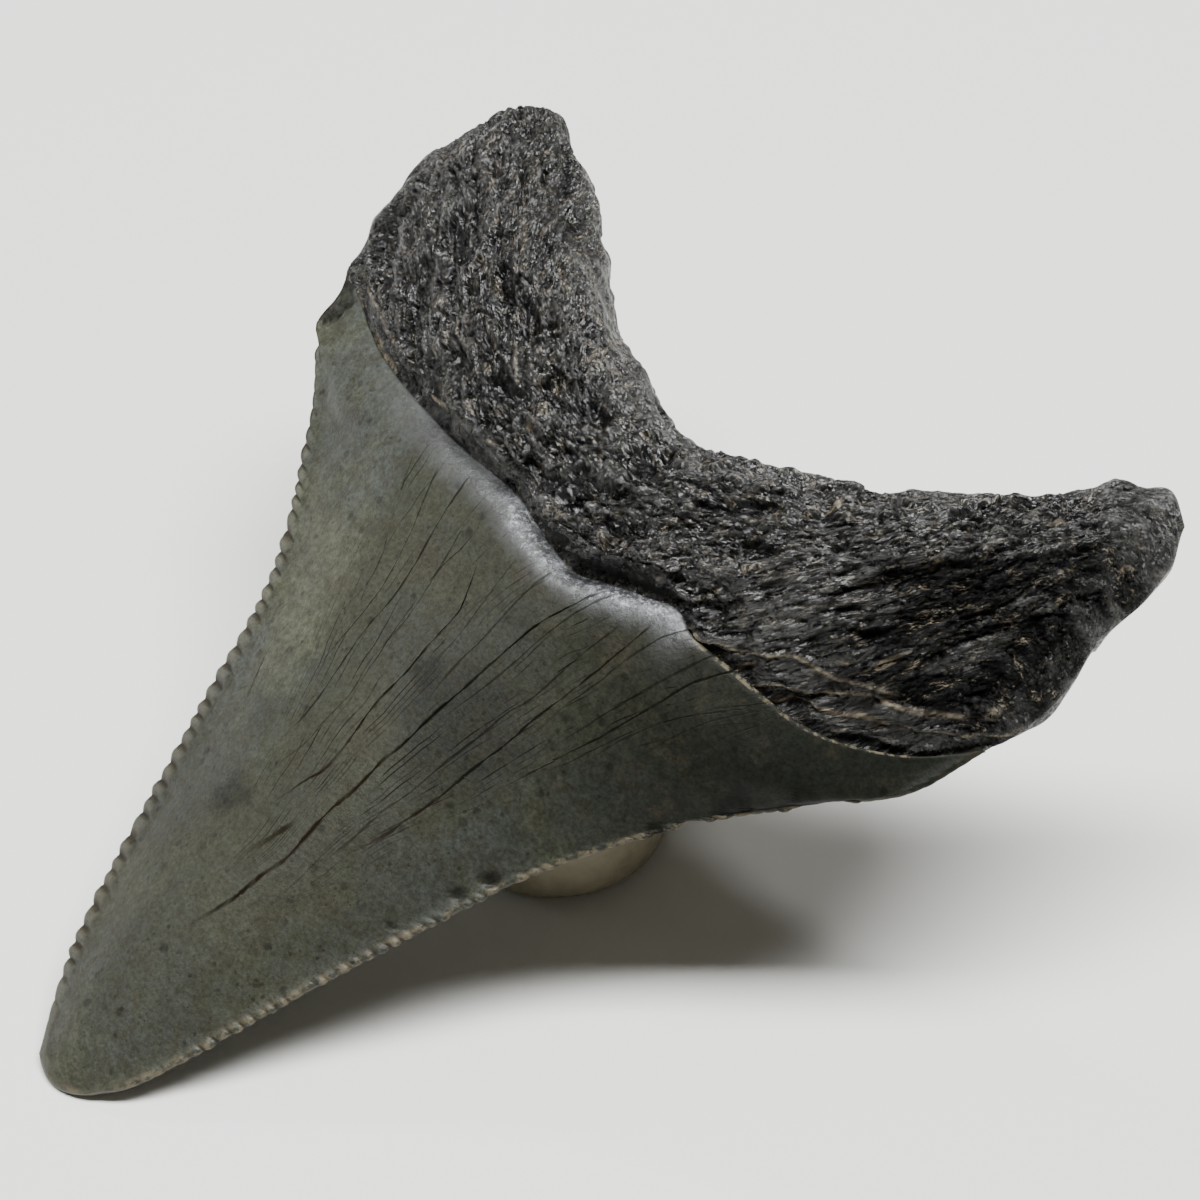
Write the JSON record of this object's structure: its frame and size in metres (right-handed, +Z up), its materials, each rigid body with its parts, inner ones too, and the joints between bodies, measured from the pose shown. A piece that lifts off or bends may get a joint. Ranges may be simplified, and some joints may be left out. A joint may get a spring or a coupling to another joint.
{
  "type": "fossil megalodon tooth on a prop",
  "caption": "Fossil megalodon tooth with a serrated crown and a rough forked root, leaning with its tip down on a short round prop.",
  "frame": {"origin": "centre of the footprint, on the surface that the prop and the tooth's tip stand on", "axes": "+Z up, +X from the tip's side to the right-hand root lobe as the display face is seen, +Y away from the viewer"},
  "size_m": [0.0568, 0.0494, 0.0267],
  "materials": {
    "fossil": "satin enamel, rough dark root",
    "putty": "matte cream"
  },
  "bodies": {
    "root": {"tooth": "fossil", "prop": "putty"}
  },
  "joints": []
}
